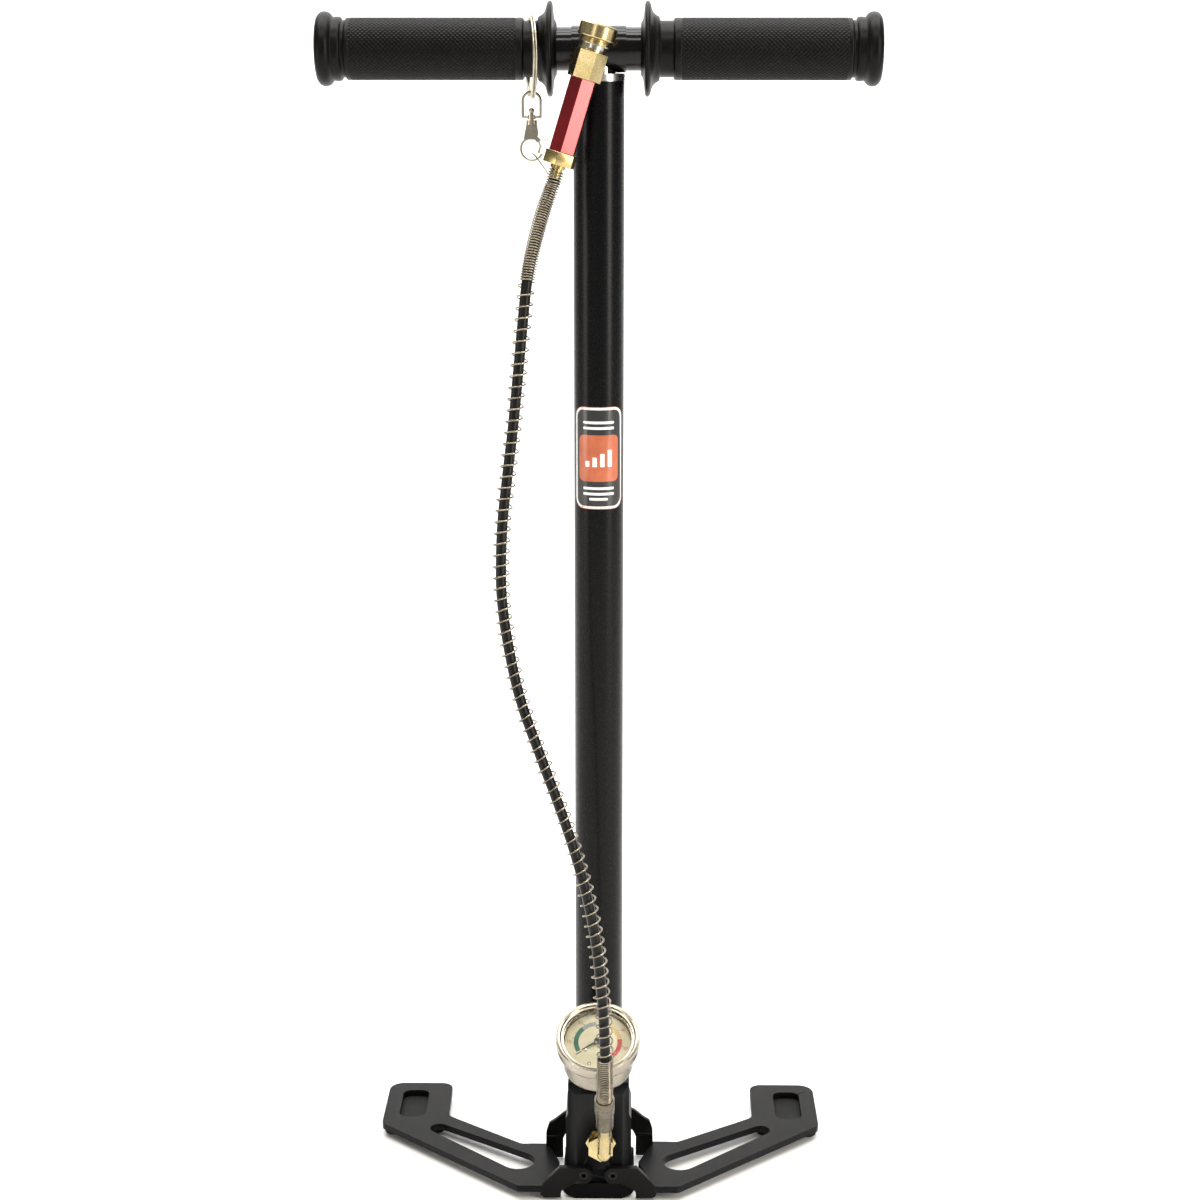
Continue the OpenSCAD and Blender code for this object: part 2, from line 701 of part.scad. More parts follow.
module split_ring() {
    color("#c9ccd0") translate([clasp_x, 0, ring_z]) rotate([0, 0, 8]) rotate([0, 90, 0]) rotate_extrude()
        polygon(rounded([[ring_r - 1.45, -1.3, 0.5], [ring_r + 1.4, -1.3, 0.5],
                         [ring_r + 1.4, 1.3, 0.5], [ring_r - 1.45, 1.3, 0.5]]), $fn = 96);
}

module wire(a, b, r) {
    d = b - a;
    translate(a) rotate([0, acos(d[2] / norm(d)), atan2(d[1], d[0])]) cylinder(r = r, h = norm(d), $fn = 24);
}

module swivel_eye() {
    wire_r = 0.75;
    arch = 4.65;
    foot_z = 604.6;
    color("#c9ccd0") translate([clasp_x, 0, 0]) difference() {
        union() {
            translate([0, 0, eye_z]) rotate([90, 0, 0]) rotate_extrude(angle = 180)
                translate([arch, 0]) circle(r = wire_r, $fn = 24);
            for (side = [-1, 1]) {
                wire([side * arch, 0, eye_z], [side * arch, 0, foot_z], wire_r);
                translate([side * arch, 0, foot_z]) sphere(r = wire_r, $fn = 24);
            }
            wire([-arch, 0, foot_z], [arch, 0, foot_z], wire_r);
            post(2, 603.5, 605.9);
        }
        post(1 + run, 603, 607);
    }
}

module snap_hook() {
    color("#c9ccd0") translate([clasp_x, 0, 0]) difference() {
        union() {
            translate([0, 0, 607.8]) sphere(r = 1.6, $fn = 32);
            post(1, 601, 607.8);
            post(2.9, 600.9, 603.1);
            upright([-1.5, 1.5]) polygon(rounded([
                [-2.7, 601.4, 0], [2.7, 601.4, 0], [3.6, 596.3, 0.5], [2.5, 593.2, 0.5],
                [-4.3, 593.2, 0.8]]));
            translate([0, 0, loop_z]) rotate([90, 0, 0]) rotate([0, 0, gate_hinge_a + 9])
                rotate_extrude(angle = 360 - 9 - gate_hinge_a + loop_end_a)
                    translate([loop_r, 0]) circle(r = loop_wire, $fn = 24);
            hinge_lug();
        }
        towards_front([0, 2, 599]) cylinder(r = 0.9 + snug, h = 4);
        gate_hinge_place() towards_front([0, 2, 0]) cylinder(r = 0.45 + snug, h = 4);
        gate_hinge_place() upright([-0.95, 0.95]) circle(r = 1.7, $fn = 32);
    }
}

module gate_hinge_place() {
    translate([loop_r * cos(gate_hinge_a), 0, loop_z + loop_r * sin(gate_hinge_a)]) children();
}

module hinge_lug() {
    gate_hinge_place() upright([-1.5, 1.5]) circle(r = 1.25, $fn = 32);
}

module hook_rivets() {
    color("#b9bcc0") translate([clasp_x, 0, 0]) {
        towards_front([0, 1.8, 599]) cylinder(r = 0.9, h = 3.6);
        gate_hinge_place() towards_front([0, 1.6, 0]) cylinder(r = 0.45, h = 3.2);
    }
}

module hook_gate() {
    hinge = [loop_r * cos(gate_hinge_a), 0, loop_z + loop_r * sin(gate_hinge_a)];
    knee = [4.5, 0, loop_z + 1.5];
    tip = [3.55, 0, loop_z - 2];
    color("#c9ccd0") translate([clasp_x, 0, 0]) difference() {
        union() {
            wire(hinge, knee, loop_wire);
            translate(knee) sphere(r = loop_wire + 0.03, $fn = 24);
            wire(knee, tip, loop_wire);
            translate(hinge) upright([-0.65, 0.65]) circle(r = 1, $fn = 32);
            wire(hinge + [0.5, 0, -0.2], hinge + [6.6, 0, -0.2], 0.4);
        }
        translate(hinge) towards_front([0, 2, 0]) cylinder(r = 0.45 + run, h = 4);
    }
}

// ---- drawing ----

outer_tube();
tube_label();
gland_nut();
guide_bush();
wiper_seal();
tube_seal();
centre_tube();
second_stage_head();
second_stage_seal();
base_block();
base_foot();
base_screws();
pivot_pins();
valve_seat();
valve_ball();
valve_spring();
bleed_screw();
gauge_stem();
gauge_case();
gauge_bezel();
gauge_dial();
gauge_lens();
gauge_tube();
gauge_movement();
gauge_needle();
needle_stop();
left_foot_plate();
left_foot_pad();
right_foot_plate();
right_foot_pad();
outlet_elbow();
hose_ferrule();
low_end_spring();
hose();
hose_guard();
top_end_spring();
spring_tail();
connector_neck();
lower_nut();
filter_body();
filter_element();
coupler_body();
coupler_collar();
coupler_spring();
coupler_balls();
crossbar();
hub_sleeve();
hub_pin();
left_grip();
right_grip();
piston_tube();
first_stage_piston();
piston_seals();
plunger_rod();
plunger_seal();
split_ring();
swivel_eye();
snap_hook();
hook_rivets();
hook_gate();
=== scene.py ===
import math

import bmesh
import bpy
import numpy as np
from mathutils import Matrix, Vector


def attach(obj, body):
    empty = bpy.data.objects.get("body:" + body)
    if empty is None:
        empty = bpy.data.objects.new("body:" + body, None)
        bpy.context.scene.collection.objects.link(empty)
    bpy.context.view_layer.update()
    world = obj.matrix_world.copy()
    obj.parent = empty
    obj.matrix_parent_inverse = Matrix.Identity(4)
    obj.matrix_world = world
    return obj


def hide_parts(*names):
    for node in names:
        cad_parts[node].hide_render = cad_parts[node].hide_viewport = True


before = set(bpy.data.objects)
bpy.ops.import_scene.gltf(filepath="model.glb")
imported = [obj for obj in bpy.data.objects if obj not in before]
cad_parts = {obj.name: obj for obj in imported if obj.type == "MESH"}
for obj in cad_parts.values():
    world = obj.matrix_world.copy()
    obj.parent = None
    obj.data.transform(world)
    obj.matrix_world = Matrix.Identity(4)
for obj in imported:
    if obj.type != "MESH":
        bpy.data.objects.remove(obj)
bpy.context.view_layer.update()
MM = 0.001
TAU = 2 * math.pi
scene = bpy.context.scene

# ---------------------------------------------------------------- camera
YAW = 0.014
CAMERA_FAR, CAMERA_UP, CAMERA_ASIDE = 1.18, 0.6523, 0.0006
camera = bpy.data.objects.new("camera", bpy.data.cameras.new("camera"))
scene.collection.objects.link(camera)
camera.location = (CAMERA_FAR * math.sin(YAW) + CAMERA_ASIDE, -CAMERA_FAR * math.cos(YAW), CAMERA_UP)
camera.rotation_euler = (math.radians(75.5), 0, YAW)
camera.data.sensor_width = 36
camera.data.lens = 67.08
camera.data.clip_start = 0.05
camera.data.clip_end = 60
scene.camera = camera

# ---------------------------------------------------------------- places from part.scad, in metres
HOSE_ROUTE = np.array([
    (3.9, -51.3, 60.2), (3.9, -57.7, 70.4), (3.9, -64.5, 81.3), (4.3, -71, 93), (4.4, -75.7, 106),
    (4.3, -78.3, 120), (3.7, -79.6, 136), (2.5, -80, 152), (0.2, -79.3, 176), (-4.7, -77, 203),
    (-12, -74, 230), (-20, -71, 254), (-29, -67.2, 278), (-40, -62.6, 309), (-46.4, -59, 338),
    (-49.8, -56, 366), (-49.3, -52.8, 398), (-46.4, -49.8, 426), (-43.5, -47.2, 450),
    (-40.7, -44.8, 478), (-38.2, -42.4, 504), (-35.9, -39.6, 525), (-33.2, -36.4, 539.5),
    (-30, -31.8, 552), (-27, -28, 562), (-23.9, -25.6, 570.3), (-22.4, -25.4, 575),
    (-21.1, -25.2, 579.5)]) * MM
HOSE_R = 2.8 * MM
BAR_Z = 638.8 * MM
GAUGE = Matrix.Translation((0, -44.4 * MM, 109.8 * MM)) @ Matrix.Rotation(math.radians(30), 4, "X")


def along(route, t):
    """The smooth curve of part.scad through the route's points."""
    n = len(route)
    i = min(int(math.floor(t)), n - 2)
    u = t - i
    a, b, c, d = route[max(i - 1, 0)], route[i], route[i + 1], route[min(i + 2, n - 1)]
    return 0.5 * (2 * b + (c - a) * u + (2 * a - 5 * b + 4 * c - d) * u * u
                  + (3 * b - a - 3 * c + d) * u ** 3)


def even(route, span, step):
    """Points a fixed distance apart on a stretch of a route."""
    dense = np.array([along(route, t) for t in np.linspace(span[0], span[1], 1200)])
    s = np.concatenate([[0], np.cumsum(np.linalg.norm(np.diff(dense, axis=0), axis=1))])
    want = np.linspace(0, s[-1], max(2, int(round(s[-1] / step)) + 1))
    return np.stack([np.interp(want, s, dense[:, k]) for k in range(3)], axis=1)


def frames(points):
    """Tangents, and two normals carried along without twist."""
    tangent = np.gradient(points, axis=0)
    tangent /= np.linalg.norm(tangent, axis=1)[:, None]
    normal = np.array((1.0, 0.0, 0.0))
    normals = []
    for t in tangent:
        normal = normal - t * np.dot(normal, t)
        normal /= np.linalg.norm(normal)
        normals.append(normal)
    normals = np.array(normals)
    return tangent, normals, np.cross(tangent, normals)


# ---------------------------------------------------------------- materials
def node(tree, kind, **values):
    """A shader node with its input values, or its own settings, filled in."""
    made = tree.nodes.new(kind)
    for name, value in values.items():
        if name in made.inputs:
            made.inputs[name].default_value = value
        else:
            setattr(made, name, value)
    return made


def surface(name, dark, light, rough, metal=0.0, scale=90.0, stretch=(1, 1, 1), bump=0.0,
            grain=900.0, coat=0.0, coat_rough=0.08, level=0.5, wear=None):
    """A procedural finish: two tones in cloudy patches, roughness that varies, fine grain."""
    mat = bpy.data.materials.new(name)
    mat.use_nodes = True
    tree = mat.node_tree
    shader = tree.nodes["Principled BSDF"]
    shader.inputs["Metallic"].default_value = metal
    shader.inputs["Specular IOR Level"].default_value = level
    shader.inputs["Coat Weight"].default_value = coat
    shader.inputs["Coat Roughness"].default_value = coat_rough
    link = tree.links.new
    place = node(tree, "ShaderNodeTexCoord")
    fit = node(tree, "ShaderNodeMapping")
    fit.inputs["Scale"].default_value = stretch
    link(place.outputs["Object"], fit.inputs["Vector"])
    cloud = node(tree, "ShaderNodeTexNoise", Scale=scale, Detail=6.0, Roughness=0.6)
    link(fit.outputs["Vector"], cloud.inputs["Vector"])
    tone = node(tree, "ShaderNodeMix", data_type="RGBA")
    tone.inputs["A"].default_value = (*dark, 1)
    tone.inputs["B"].default_value = (*light, 1)
    ramp = node(tree, "ShaderNodeMapRange")
    ramp.inputs["From Min"].default_value = 0.3
    ramp.inputs["From Max"].default_value = 0.7
    link(cloud.outputs["Fac"], ramp.inputs["Value"])
    link(ramp.outputs["Result"], tone.inputs["Factor"])
    colour = tone.outputs["Result"]
    if wear:
        geometry = node(tree, "ShaderNodeNewGeometry")
        edge = node(tree, "ShaderNodeMapRange")
        edge.inputs["From Min"].default_value = 0.56
        edge.inputs["From Max"].default_value = 0.66
        edge.inputs["To Max"].default_value = 0.6
        link(geometry.outputs["Pointiness"], edge.inputs["Value"])
        rub = node(tree, "ShaderNodeMix", data_type="RGBA")
        rub.inputs["B"].default_value = (*wear, 1)
        link(edge.outputs["Result"], rub.inputs["Factor"])
        link(colour, rub.inputs["A"])
        colour = rub.outputs["Result"]
    link(colour, shader.inputs["Base Color"])
    gloss = node(tree, "ShaderNodeMapRange")
    gloss.inputs["To Min"].default_value = rough[0]
    gloss.inputs["To Max"].default_value = rough[1]
    fine = node(tree, "ShaderNodeTexNoise", Scale=grain, Detail=3.0, Roughness=0.5)
    link(fit.outputs["Vector"], fine.inputs["Vector"])
    link(fine.outputs["Fac"], gloss.inputs["Value"])
    link(gloss.outputs["Result"], shader.inputs["Roughness"])
    if bump:
        relief = node(tree, "ShaderNodeBump", Strength=bump, Distance=0.0002)
        link(fine.outputs["Fac"], relief.inputs["Height"])
        link(relief.outputs["Normal"], shader.inputs["Normal"])
    return mat


AROUND_Z = (1, 1, 0.03)
MATS = {
    "tube_black": surface("tube_black", (0.0018, 0.0018, 0.0021), (0.0032, 0.0032, 0.0036), (0.22, 0.32),
                          scale=14, stretch=(1, 1, 0.25), bump=0.03, grain=2600, level=0.15),
    "bar_black": surface("bar_black", (0.004, 0.0035, 0.0035), (0.007, 0.006, 0.006), (0.12, 0.2),
                         scale=20, bump=0.01, grain=1800, level=0.25),
    "block_black": surface("block_black", (0.0025, 0.0025, 0.003), (0.0045, 0.0045, 0.005), (0.3, 0.44),
                           scale=40, bump=0.06, grain=2400, level=0.04, wear=(0.03, 0.03, 0.032)),
    "foot_black": surface("foot_black", (0.004, 0.0037, 0.004), (0.007, 0.0065, 0.007), (0.28, 0.42),
                          scale=36, bump=0.07, grain=2300, level=0.085, wear=(0.04, 0.04, 0.042)),
    "rubber": surface("rubber", (0.002, 0.0019, 0.0019), (0.0042, 0.004, 0.004), (0.3, 0.42),
                      scale=60, bump=0.08, grain=2600, level=0.12),
    "pad_rubber": surface("pad_rubber", (0.004, 0.004, 0.004), (0.009, 0.009, 0.009), (0.6, 0.8),
                          scale=50, bump=0.2, grain=1600, level=0.2),
    "seal": surface("seal", (0.01, 0.01, 0.01), (0.02, 0.02, 0.02), (0.4, 0.55), bump=0.05),
    "hose": surface("hose", (0.003, 0.003, 0.003), (0.006, 0.006, 0.006), (0.28, 0.42),
                    scale=120, bump=0.08, grain=2200, level=0.25),
    "silver": surface("silver", (0.62, 0.61, 0.58), (0.8, 0.79, 0.76), (0.2, 0.34), metal=1,
                      scale=60, stretch=(0.05, 0.05, 1), bump=0.05, grain=1200),
    "steel": surface("steel", (0.42, 0.42, 0.42), (0.6, 0.59, 0.58), (0.2, 0.32), metal=1,
                     scale=90, bump=0.05, grain=2000),
    "ferrule_steel": surface("ferrule_steel", (0.115, 0.098, 0.074), (0.2, 0.172, 0.125), (0.2, 0.34), metal=1,
                             scale=120, bump=0.05, grain=1800),
    "bright_steel": surface("bright_steel", (0.66, 0.66, 0.65), (0.8, 0.8, 0.79), (0.07, 0.15), metal=1,
                            scale=60, stretch=AROUND_Z, bump=0.01, grain=1500),
    "spring_steel": surface("spring_steel", (0.18, 0.155, 0.115), (0.38, 0.335, 0.26), (0.14, 0.26), metal=1,
                            scale=160, bump=0.02, grain=2400),
    "dark_steel": surface("dark_steel", (0.05, 0.05, 0.055), (0.1, 0.1, 0.105), (0.3, 0.45), metal=1,
                          scale=90, bump=0.05, grain=1800),
    "pin_black": surface("pin_black", (0.006, 0.006, 0.0065), (0.012, 0.012, 0.0125), (0.3, 0.45),
                         scale=90, bump=0.05, grain=1800, level=0.25),
    "nickel": surface("nickel", (0.4, 0.365, 0.28), (0.58, 0.54, 0.43), (0.22, 0.4), metal=1,
                      scale=220, bump=0.03, grain=1500),
    "brass": surface("brass", (0.4, 0.3, 0.12), (0.56, 0.44, 0.2), (0.2, 0.34), metal=1,
                     scale=110, bump=0.05, grain=1700),
    "brass_pale": surface("brass_pale", (0.44, 0.345, 0.16), (0.62, 0.51, 0.28), (0.2, 0.34), metal=1,
                          scale=110, bump=0.05, grain=1700),
    "bronze": surface("bronze", (0.4, 0.26, 0.12), (0.55, 0.38, 0.2), (0.25, 0.4), metal=1,
                      scale=110, bump=0.05, grain=1700),
    "red_anodised": surface("red_anodised", (0.2, 0.003, 0.006), (0.32, 0.008, 0.013), (0.2, 0.3), metal=0.85,
                            scale=50, bump=0.04, grain=2200, coat=1.0, coat_rough=0.12),
    "cream_metal": surface("cream_metal", (0.3, 0.27, 0.21), (0.43, 0.395, 0.33), (0.2, 0.32), metal=0.95,
                           scale=60, bump=0.03, grain=1500),
    "dial": surface("dial", (0.5, 0.45, 0.28), (0.58, 0.53, 0.36), (0.5, 0.62), scale=70, bump=0.02),
    "needle": surface("needle", (0.01, 0.01, 0.01), (0.02, 0.02, 0.02), (0.4, 0.5), bump=0.02),
    "label_field": surface("label_field", (0.44, 0.1, 0.035), (0.56, 0.14, 0.06), (0.26, 0.36),
                           scale=120, bump=0.04, grain=2400, coat=0.4),
    "label_white": surface("label_white", (0.78, 0.78, 0.76), (0.86, 0.86, 0.84), (0.26, 0.36),
                           scale=120, bump=0.03, grain=2400, coat=0.4),
    "label_black": surface("label_black", (0.01, 0.01, 0.01), (0.016, 0.016, 0.016), (0.26, 0.36),
                           scale=120, bump=0.03, grain=2400, coat=0.4),
    "ink_green": surface("ink_green", (0.006, 0.075, 0.04), (0.014, 0.11, 0.06), (0.45, 0.6), bump=0.02),
    "ink_grey": surface("ink_grey", (0.2, 0.2, 0.21), (0.28, 0.28, 0.29), (0.45, 0.6), bump=0.02),
    "ink_yellow": surface("ink_yellow", (0.42, 0.27, 0.06), (0.52, 0.36, 0.11), (0.45, 0.6), bump=0.02),
    "ink_red": surface("ink_red", (0.34, 0.025, 0.02), (0.46, 0.05, 0.035), (0.45, 0.6), bump=0.02),
    "ink_black": surface("ink_black", (0.02, 0.02, 0.02), (0.05, 0.05, 0.05), (0.45, 0.6), bump=0.02),
    "felt": surface("felt", (0.6, 0.59, 0.55), (0.8, 0.79, 0.75), (0.8, 0.95), scale=300, bump=0.4),
}


def glass():
    mat = surface("lens_glass", (0.97, 0.98, 0.98), (1, 1, 1), (0.01, 0.03), bump=0.0)
    shader = mat.node_tree.nodes["Principled BSDF"]
    shader.inputs["Transmission Weight"].default_value = 1.0
    shader.inputs["IOR"].default_value = 1.25
    return mat


MATS["glass"] = glass()

CAD_MATERIALS = {
    "tube_black": ["outer_tube", "bleed_screw"],
    "bar_black": ["crossbar", "hub_sleeve"],
    "block_black": ["base_block", "base_foot"],
    "foot_black": ["left_foot_plate", "right_foot_plate"],
    "rubber": ["left_grip", "right_grip"],
    "pad_rubber": ["left_foot_pad", "right_foot_pad"],
    "seal": ["wiper_seal", "tube_seal", "second_stage_seal", "piston_seals", "plunger_seal"],
    "hose": ["hose"],
    "silver": ["gland_nut"],
    "steel": ["centre_tube", "base_screws", "valve_spring", "needle_stop", "hub_pin", "plunger_rod",
              "coupler_spring"],
    "ferrule_steel": ["hose_ferrule"],
    "bright_steel": ["piston_tube", "valve_ball", "coupler_balls"],
    "spring_steel": ["low_end_spring", "hose_guard", "top_end_spring", "spring_tail"],
    "pin_black": ["pivot_pins"],
    "nickel": ["split_ring", "swivel_eye", "snap_hook", "hook_rivets", "hook_gate"],
    "brass": ["gauge_stem", "connector_neck", "lower_nut"],
    "brass_pale": ["outlet_elbow", "coupler_body", "coupler_collar"],
    "bronze": ["guide_bush", "second_stage_head", "valve_seat", "gauge_tube", "gauge_movement",
               "first_stage_piston"],
    "red_anodised": ["filter_body"],
    "cream_metal": ["gauge_case", "gauge_bezel"],
    "dial": ["gauge_dial"],
    "needle": ["gauge_needle"],
    "label_field": ["tube_label"],
    "glass": ["gauge_lens"],
    "felt": ["filter_element"],
}
for finish, names in CAD_MATERIALS.items():
    for name in names:
        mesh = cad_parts[name].data
        mesh.materials.clear()
        mesh.materials.append(MATS[finish])


# ---------------------------------------------------------------- making pieces
def piece(name, vertices, faces, body, finish, smooth=True, replaces=()):
    """A new mesh object, riding on its body and finish."""
    mesh = bpy.data.meshes.new(name)
    mesh.from_pydata([tuple(v) for v in vertices], [], [tuple(f) for f in faces])
    mesh.validate()
    obj = bpy.data.objects.new(name, mesh)
    scene.collection.objects.link(obj)
    mesh.materials.append(MATS[finish])
    if smooth:
        mesh.polygons.foreach_set("use_smooth", [True] * len(mesh.polygons))
    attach(obj, body)
    if replaces:
        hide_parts(*replaces)
    return obj


def grid_faces(rows, cols):
    """Quads between rings of points, closed round each ring and open at both ends."""
    faces = []
    for i in range(rows - 1):
        for k in range(cols):
            a, b = i * cols + k, i * cols + (k + 1) % cols
            c, d = (i + 1) * cols + k, (i + 1) * cols + (k + 1) % cols
            faces.append((a, b, d, c))
    return faces


def sweep(points, radius, sides):
    """A round wire along points, with closed, slightly domed ends."""
    tangent, n1, n2 = frames(points)
    a = np.arange(sides) * TAU / sides
    rings = (points[:, None, :] + radius * (np.cos(a)[None, :, None] * n1[:, None, :]
                                            + np.sin(a)[None, :, None] * n2[:, None, :]))
    vertices = list(rings.reshape(-1, 3))
    faces = grid_faces(len(points), sides)
    for end, first in ((0, 0), (len(points) - 1, (len(points) - 1) * sides)):
        out = -tangent[end] if end == 0 else tangent[end]
        vertices.append(points[end] + out * radius * 0.35)
        tip = len(vertices) - 1
        for k in range(sides):
            pair = (first + (k + 1) % sides, first + k)
            faces.append((*(pair if end == 0 else pair[::-1]), tip))
    return vertices, faces


def coil_path(route, span, mid_r, pitch, per_turn, phase):
    """The centreline of a spring wound round a stretch of a route."""
    line = even(route, span, 0.5 * MM)
    s = np.concatenate([[0], np.cumsum(np.linalg.norm(np.diff(line, axis=0), axis=1))])
    _, n1, n2 = frames(line)
    turns = s[-1] / pitch
    q = np.linspace(0, 1, int(turns * per_turn) + 1)
    at = q * s[-1]
    angle = phase + TAU * turns * q
    centre = np.stack([np.interp(at, s, line[:, k]) for k in range(3)], axis=1)
    u = np.stack([np.interp(at, s, n1[:, k]) for k in range(3)], axis=1)
    v = np.stack([np.interp(at, s, n2[:, k]) for k in range(3)], axis=1)
    return centre + mid_r * (np.cos(angle)[:, None] * u + np.sin(angle)[:, None] * v)


# ---------------------------------------------------------------- softened edges on machined pieces
WELD = 2e-6          # metres within which vertices are one
SMALL_FACE = 6e-5    # square metres: smaller faces are shaded smooth, larger ones flat
SHARP = math.radians(32)
FLAT = math.radians(0.5)


def softened(name, node_name, width, body, finish):
    """A copy of a CAD node's mesh whose sharp edges are rounded, shown in its place."""
    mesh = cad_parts[node_name].data.copy()
    mesh.name = name
    bm = bmesh.new()
    bm.from_mesh(mesh)
    bmesh.ops.remove_doubles(bm, verts=bm.verts, dist=WELD)
    bmesh.ops.dissolve_limit(bm, angle_limit=FLAT, verts=bm.verts, edges=bm.edges)
    bm.to_mesh(mesh)
    bm.free()
    obj = bpy.data.objects.new(name, mesh)
    scene.collection.objects.link(obj)
    bevel = obj.modifiers.new("bevel", "BEVEL")
    bevel.width = width
    bevel.segments = 2
    bevel.limit_method = "ANGLE"
    bevel.angle_limit = SHARP
    bevel.use_clamp_overlap = True
    bpy.context.view_layer.update()
    done = bpy.data.meshes.new_from_object(obj.evaluated_get(bpy.context.evaluated_depsgraph_get()))
    obj.modifiers.clear()
    obj.data = done
    done.materials.clear()
    done.materials.append(MATS[finish])
    done.polygons.foreach_set("use_smooth", [face.area < SMALL_FACE for face in done.polygons])
    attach(obj, body)
    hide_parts(node_name)
    return obj


softened("block_body", "base_block", 0.45 * MM, "base", "block_black")
softened("block_foot", "base_foot", 0.4 * MM, "base", "block_black")
softened("left_foot_casting", "left_foot_plate", 0.45 * MM, "left_foot", "foot_black")
softened("right_foot_casting", "right_foot_plate", 0.45 * MM, "right_foot", "foot_black")
red_hex = softened("red_hex_body", "filter_body", 0.35 * MM, "base", "red_anodised")
nut_hex = softened("nut_hex", "lower_nut", 0.35 * MM, "base", "brass")
coupler_hex = softened("coupler_hex", "coupler_body", 0.3 * MM, "base", "brass_pale")


# ---------------------------------------------------------------- hose, springs, guard
hose_line = even(HOSE_ROUTE, (0, len(HOSE_ROUTE) - 2), 4 * MM)
hose_vertices, hose_faces = sweep(hose_line, HOSE_R, 24)
hose = piece("hose_tube", hose_vertices, hose_faces, "base", "hose", replaces=["hose"])

# piece, CAD node, slot, stretch of the route, middle radius, pitch and wire radius in mm, points a turn, phase
SPRINGS = (
    ("low_spring_coil", "low_end_spring", "bright_steel", (1.37, 4.48), 4.1, 1.27, 0.45, 24, 0.0),
    ("guard_coil", "hose_guard", "steel", (4.57, 20.88), 4.25, 5.8, 0.45, 30, 2.0),
    ("top_spring_coil", "top_end_spring", "steel", (20.97, 26.88), 3.66, 1.35, 0.4, 24, 0.0),
)
for name, node_name, slot, span, mid_r, pitch, wire_r, per_turn, phase in SPRINGS:
    wire_line = coil_path(HOSE_ROUTE, span, mid_r * MM, pitch * MM, per_turn, phase)
    v, f = sweep(wire_line, wire_r * MM, 8)
    piece(name, v, f, "base", "spring_steel", replaces=[node_name])


# ---------------------------------------------------------------- grips
def grip(side, name, node_name):
    """A moulded grip: a lathed rubber body whose middle is cut with a fine diamond knurl."""
    end = 144.5
    body_r, valley = 15.7, 0.5
    profile = [(11.05, 21.5), (12.6, 21.5), (13.4, 21.75), (14.5, 22.5), (17, 23.0), (20, 23.3),
               (22.6, 23.6),
               (23.5, 24.0), (23.95, 24.6), (24, 25.0), (23.95, 25.4), (23.5, 26.0), (22.6, 26.5),
               (21, 26.9), (19.5, 27.4), (18.3, 28.0), (17.4, 28.8), (16.7, 29.8), (16.2, 30.8), (15.8, 31.1),
               (14.6, 31.3), (14.25, 31.6), (14.2, 32), (14.2, 35), (14.2, 37.9), (14.3, 38.2), (15.1, 38.5),
               (15.5, 38.8), (15.65, 39.4), (15.7, 40.2), (15.7, 41.8), (15.6, 42.2), (15.3, 42.4)]
    knurl = (42.6, end - 17.6)
    tail = [(15.3, end - 17.4), (15.6, end - 17.2), (15.7, end - 16.8), (15.7, end - 15.6), (15.3, end - 15.1),
            (14.45, end - 14.8), (14.4, end - 14.4), (14.4, end - 13.4), (14.6, end - 13.1), (15.6, end - 12.7),
            (16.0, end - 12.2), (16.2, end - 11), (16.2, end - 9.8), (15.9, end - 8.8), (16.2, end - 8.3),
            (17.2, end - 7.6), (18.0, end - 6.8), (18.6, end - 5.6), (18.8, end - 4.4), (18.75, end - 3.2),
            (18.3, end - 2.0), (17.4, end - 1.0), (16.3, end - 0.25), (15.2, end), (13.5, end),
            (12.6, end - 0.4), (8, end - 0.5), (3, end - 0.5), (0.4, end - 0.5)]
    around, strands, pitch_x = 336, 44, 2.3
    rows = []
    steps = int((knurl[1] - knurl[0]) / (pitch_x / 5))
    for r, x in profile:
        rows.append((x, np.full(around, r)))
    a = np.arange(around) / around
    for i in range(steps + 1):
        x = knurl[0] + (knurl[1] - knurl[0]) * i / steps
        turn = (x - knurl[0]) / pitch_x
        u, w = (a * strands + turn) % 1.0, (a * strands - turn) % 1.0
        ridge = np.minimum(np.minimum(u, 1 - u), np.minimum(w, 1 - w)) * 2
        rows.append((x, body_r - valley * (1 - np.clip(ridge * 1.7, 0, 1))))
    for r, x in tail:
        rows.append((x, np.full(around, r)))
    vertices = []
    for x, r in rows:
        vertices += [(side * x * MM, rr * MM * math.cos(TAU * k / around),
                      BAR_Z + rr * MM * math.sin(TAU * k / around)) for k, rr in enumerate(r)]
    faces = grid_faces(len(rows), around)
    last = (len(rows) - 1) * around
    faces.append(tuple(last + k for k in range(around)))
    if side > 0:
        faces = [q[::-1] for q in faces]
    return piece(name, vertices, faces, "handle", "rubber", replaces=[node_name])


grip(-1, "left_grip_knurled", "left_grip")
grip(1, "right_grip_knurled", "right_grip")


